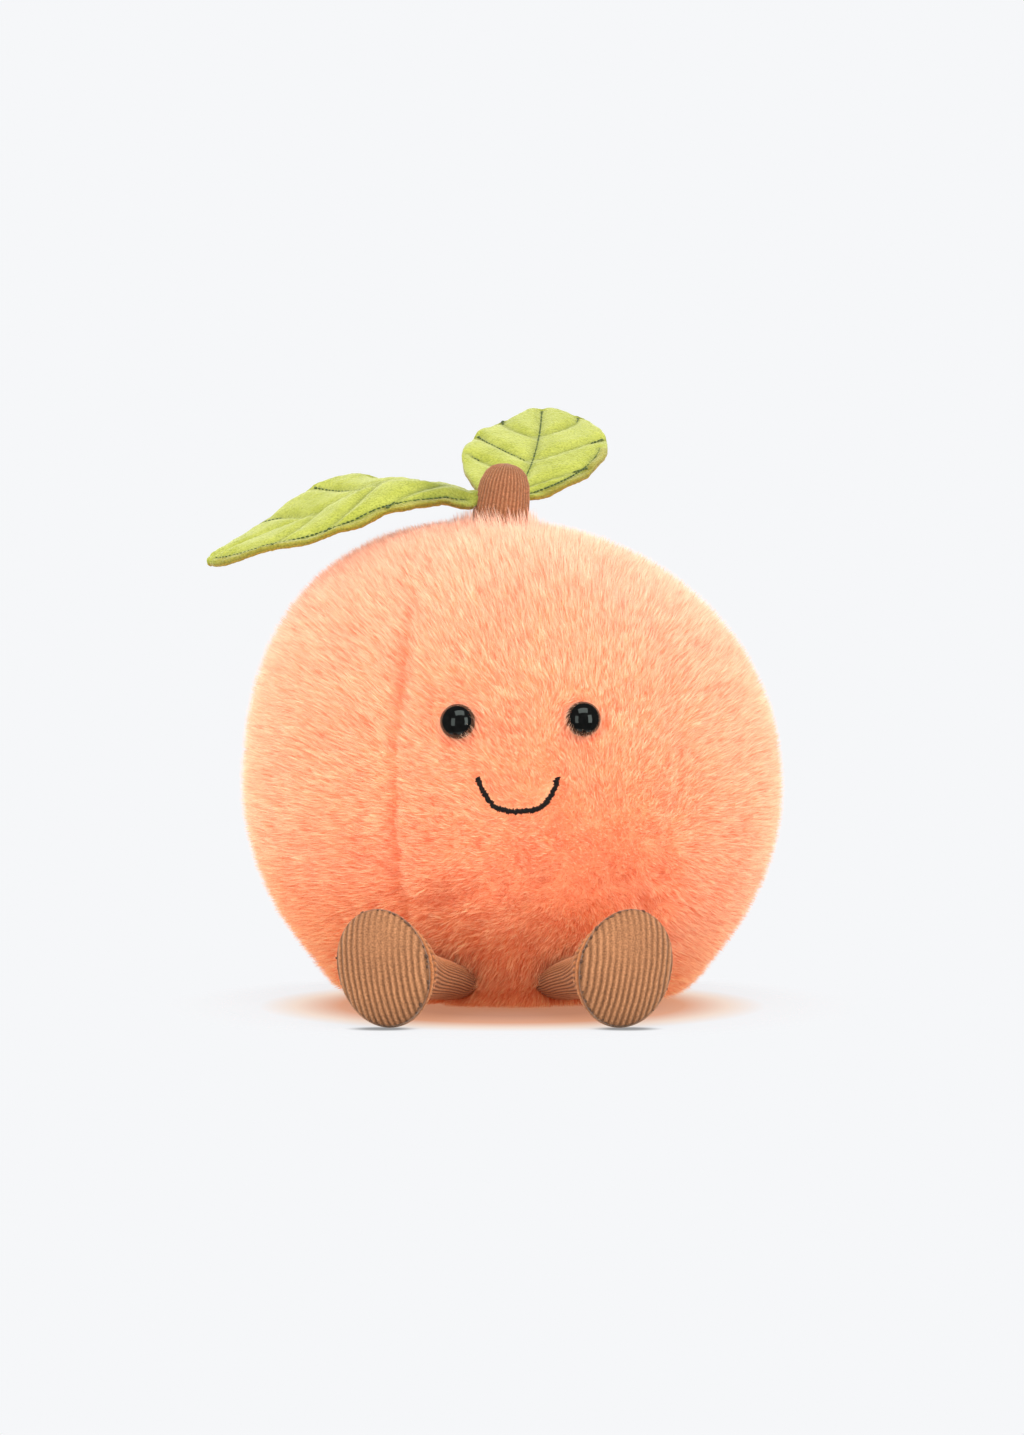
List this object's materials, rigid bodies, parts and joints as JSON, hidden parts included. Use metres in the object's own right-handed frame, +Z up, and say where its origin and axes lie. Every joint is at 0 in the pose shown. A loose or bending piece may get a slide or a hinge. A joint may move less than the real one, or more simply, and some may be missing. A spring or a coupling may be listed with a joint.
{
  "type": "plush peach toy",
  "caption": "Round furry peach-shaped soft toy with bead eyes, a stitched smile, a corduroy stem, two stitched leaves and two corduroy feet.",
  "frame": {"origin": "centre of the flat furry base, on the surface the toy sits on", "axes": "+Z up, the face looks along -Y, +X to the right as seen from the front"},
  "size_m": [0.1581, 0.1712, 0.1617],
  "materials": {
    "pile": "apricot faux fur, 6 mm pile",
    "deep_pile": "coral faux fur, 6 mm pile",
    "foot_cord": "tan needlecord",
    "stem_cord": "brown needlecord",
    "leaf_velour": "lime short-pile velour",
    "leaf_back": "olive short-pile velour",
    "vein_thread": "dark green sewing thread",
    "bead": "polished black",
    "mouth_thread": "black satin-stitch thread",
    "filling": "white polyester fibre",
    "pouch": "woven bag of pellets",
    "washer": "moulded"
  },
  "bodies": {
    "root": {"panel_face": "pile", "panel_side_right": "pile", "panel_back_right": "pile", "panel_back_middle": "pile", "panel_back_left": "pile", "panel_side_left": "pile", "panel_belly": "deep_pile", "panel_base": "deep_pile", "leg_left_cover": "foot_cord", "leg_left_sole": "foot_cord", "leg_right_cover": "foot_cord", "leg_right_sole": "foot_cord", "stem_cover": "stem_cord", "leaf_left_top": "leaf_velour", "leaf_right_top": "leaf_velour", "leaf_left_under": "leaf_back", "leaf_right_under": "leaf_back", "leaf_left_veins": "vein_thread", "leaf_right_veins": "vein_thread", "eye_left": "bead", "eye_right": "bead", "mouth_stitch": "mouth_thread", "stuffing_body": "filling", "stem_filling": "filling", "leg_left_filling": "filling", "leg_right_filling": "filling", "pellet_pouch": "pouch", "washer_left": "washer", "washer_right": "washer"}
  },
  "joints": []
}
